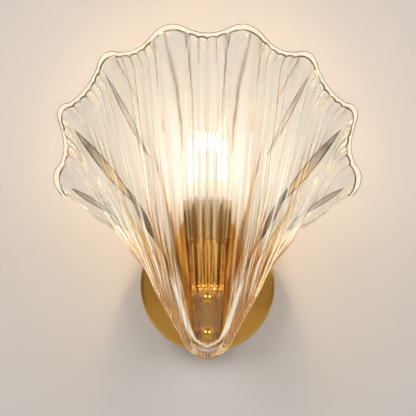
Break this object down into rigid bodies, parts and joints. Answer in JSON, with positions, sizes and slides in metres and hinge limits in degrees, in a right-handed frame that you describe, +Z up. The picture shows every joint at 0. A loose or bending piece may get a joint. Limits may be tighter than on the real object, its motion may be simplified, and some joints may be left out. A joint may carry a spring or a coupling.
{
  "type": "shell wall sconce",
  "caption": "Wall sconce with a round brass canopy and a thick clear fluted glass shell held by two ball nuts in front of one candle bulb.",
  "frame": {"origin": "the middle of the wall side, in the plane of the wall, at the centre of the round canopy and of the crossbar's two slots", "axes": "+Z up, +Y into the wall, so the light faces -Y, and +X to the right of someone who faces it"},
  "size_m": [0.2642, 0.1365, 0.2843],
  "materials": {
    "satin_brass": "brushed satin brass, round grain on the canopy's face",
    "polished_brass": "polished brass",
    "contact_brass": "plain pressed brass",
    "zinc_steel": "zinc plated",
    "cap_nickel": "nickel plated",
    "clear_glass": "thick clear pressed glass, fire polished",
    "bulb_glass": "thin clear blown glass",
    "clear_silicone": "translucent soft silicone",
    "white_moulding": "white moulded plastic",
    "dark_moulding": "black moulded lamp holder",
    "lead_insulation": "heat-proof sleeving on the leads",
    "glowing_filament": "glowing filament rods, lit"
  },
  "bodies": {
    "fitting": {"wall_crossbar": "zinc_steel", "canopy": "satin_brass", "canopy_side_screws": "satin_brass", "earth_screw": "zinc_steel", "terminal_block": "white_moulding", "lamp_leads": "lead_insulation", "glass_bracket": "polished_brass", "flange_screws": "zinc_steel", "glass_studs": "zinc_steel", "stud_nuts": "polished_brass", "back_pad": "clear_silicone", "glass_sleeves": "clear_silicone", "shell_glass": "clear_glass", "front_washers": "clear_silicone", "arm_tube": "satin_brass", "arm_collar": "satin_brass", "arm_locknut": "zinc_steel", "cup_collar": "satin_brass", "lamp_cup": "satin_brass", "lamp_holder": "dark_moulding", "holder_sleeve": "contact_brass", "holder_contact": "contact_brass"},
    "lower_ball_nut_body": {"lower_ball_nut": "polished_brass"},
    "upper_ball_nut_body": {"upper_ball_nut": "polished_brass"},
    "bulb_body": {"bulb_cap": "cap_nickel", "bulb_tip": "cap_nickel", "bulb_glass": "bulb_glass", "bulb_stem": "bulb_glass", "bulb_filaments": "glowing_filament"}
  },
  "joints": [
    {"name": "upper_ball_nut_spin", "type": "hinge", "parent": "fitting", "child": "upper_ball_nut_body", "pos_m": [0, -0.0924, -0.0075], "axis": [0, -1, 0], "continuous": true},
    {"name": "lower_ball_nut_spin", "type": "hinge", "parent": "fitting", "child": "lower_ball_nut_body", "pos_m": [0, -0.0924, -0.0375], "axis": [0, -1, 0], "continuous": true},
    {"name": "bulb_spin", "type": "hinge", "parent": "fitting", "child": "bulb_body", "pos_m": [0, -0.05, 0.0545], "axis": [0, 0, 1], "continuous": true}
  ]
}
